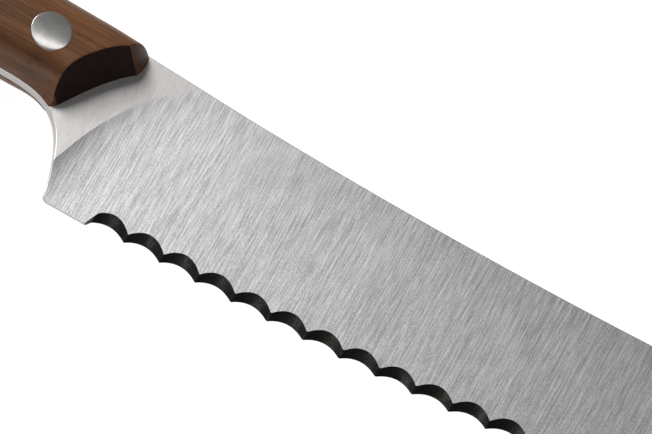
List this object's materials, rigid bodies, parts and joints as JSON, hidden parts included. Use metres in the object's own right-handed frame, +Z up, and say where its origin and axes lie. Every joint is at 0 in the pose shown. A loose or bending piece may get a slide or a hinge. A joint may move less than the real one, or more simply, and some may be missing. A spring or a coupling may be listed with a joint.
{
  "type": "bread knife",
  "caption": "Full-tang bread knife: long flat-ground steel blade, scalloped edge bevelled on one face, choil and heel, riveted wooden handle scales.",
  "frame": {"origin": "centre of the knife's bounding box, on the surface that it lies flat on", "axes": "+X from the butt towards the tip, +Y from the edge towards the spine, +Z up out of the face that carries the scallop bevels"},
  "size_m": [0.338, 0.0398, 0.015],
  "materials": {
    "blade_steel": "brushed across the blade, satin at the tang",
    "handle_wood": "oiled satin",
    "rivet_steel": "satin"
  },
  "bodies": {
    "root": {"blade_with_tang": "blade_steel", "front_scale": "handle_wood", "back_scale": "handle_wood", "front_rivet_socket": "rivet_steel", "front_rivet_pin": "rivet_steel", "middle_rivet_socket": "rivet_steel", "middle_rivet_pin": "rivet_steel", "rear_rivet_socket": "rivet_steel", "rear_rivet_pin": "rivet_steel"}
  },
  "joints": []
}
